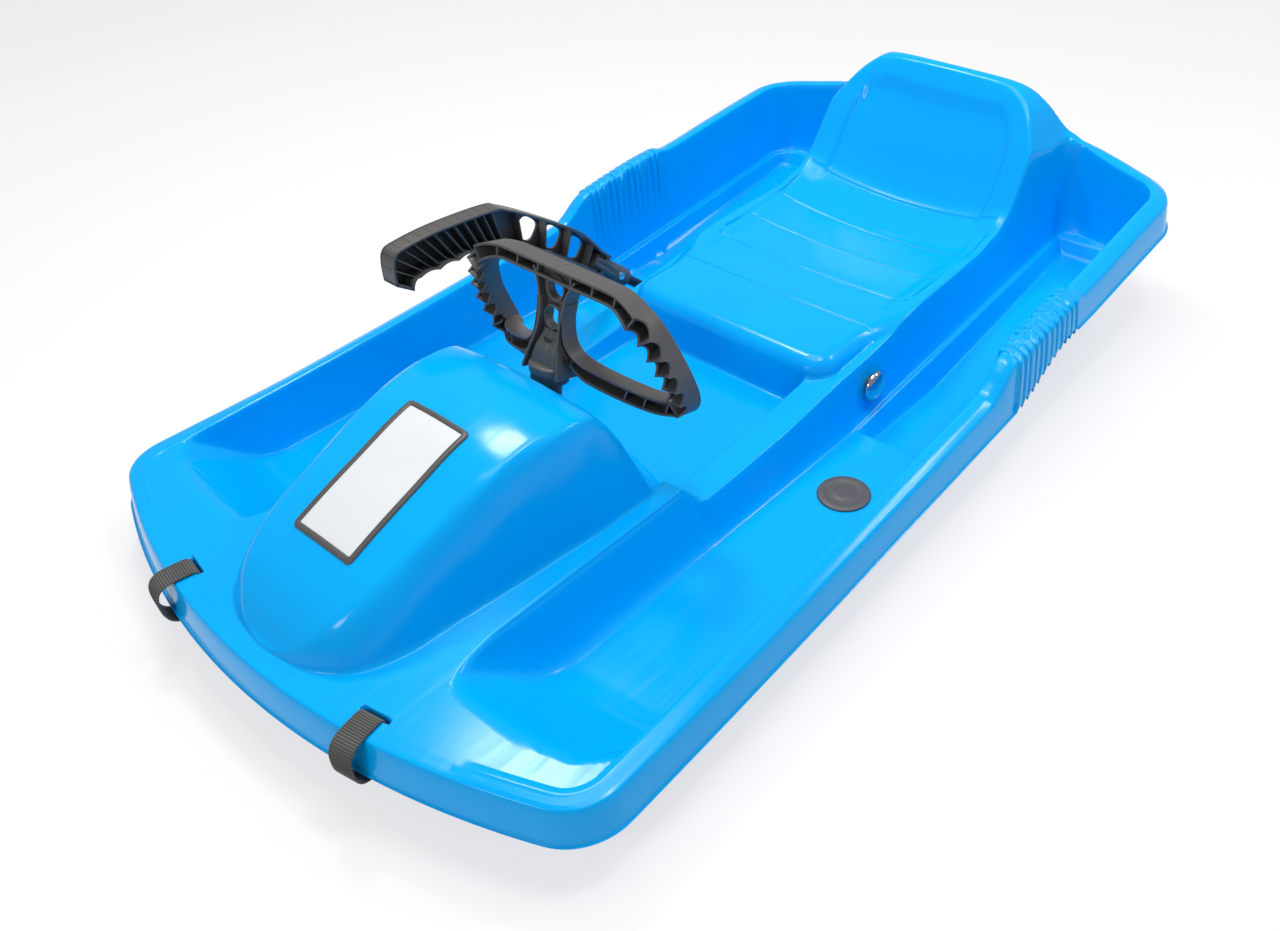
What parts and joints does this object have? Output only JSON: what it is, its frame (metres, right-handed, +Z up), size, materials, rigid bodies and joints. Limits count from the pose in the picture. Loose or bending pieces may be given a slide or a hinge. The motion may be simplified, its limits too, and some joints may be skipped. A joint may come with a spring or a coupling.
{
  "type": "steering sled",
  "caption": "Moulded child's sled with bonnet, seat and backrest, a wheel that turns a front skid and a hand lever that lowers a scraper brake.",
  "frame": {"origin": "middle of the sled on the ground", "axes": "+Z up, -Y towards the front, +X towards the seated rider's left"},
  "size_m": [0.5756, 0.9899, 0.2348],
  "materials": {
    "hull": "glossy moulded",
    "dark": "satin moulded",
    "steel": "zinc plated",
    "dark_steel": "black oxide",
    "chrome": "bright",
    "webbing": "ribbed webbing",
    "plate": "plain",
    "nylon": "natural"
  },
  "bodies": {
    "hull": {"hull_shell": "hull", "upper_bush": "nylon", "lower_bush": "nylon", "steering_bridge": "steel", "bridge_screws": "steel", "axle_bush_left": "nylon", "axle_bush_right": "nylon", "floor_plug_left": "dark", "floor_plug_right": "dark", "plate_frame": "dark", "plate": "plate", "tow_strap_left": "webbing", "tow_strap_right": "webbing"},
    "steering": {"steering_wheel": "dark", "steering_column": "steel", "wheel_bolt": "steel", "wheel_nut": "steel", "column_collar": "steel", "collar_screw": "steel", "front_skid": "dark", "skid_pin": "steel"},
    "brake": {"brake_rod": "dark_steel", "brake_handle": "dark", "brake_claw": "steel", "handle_screw": "steel", "claw_bolts": "steel", "axle_washer": "steel", "axle_cap": "chrome"}
  },
  "joints": [
    {"name": "steer", "type": "hinge", "parent": "hull", "child": "steering", "pos_m": [0, -0.173, 0.14], "axis": [0, 0.2588, 0.9659], "range_deg": [-30, 30]},
    {"name": "brake_pull", "type": "hinge", "parent": "hull", "child": "brake", "pos_m": [0, 0.095, 0.045], "axis": [-1, 0, 0], "range_deg": [0, 35]}
  ]
}
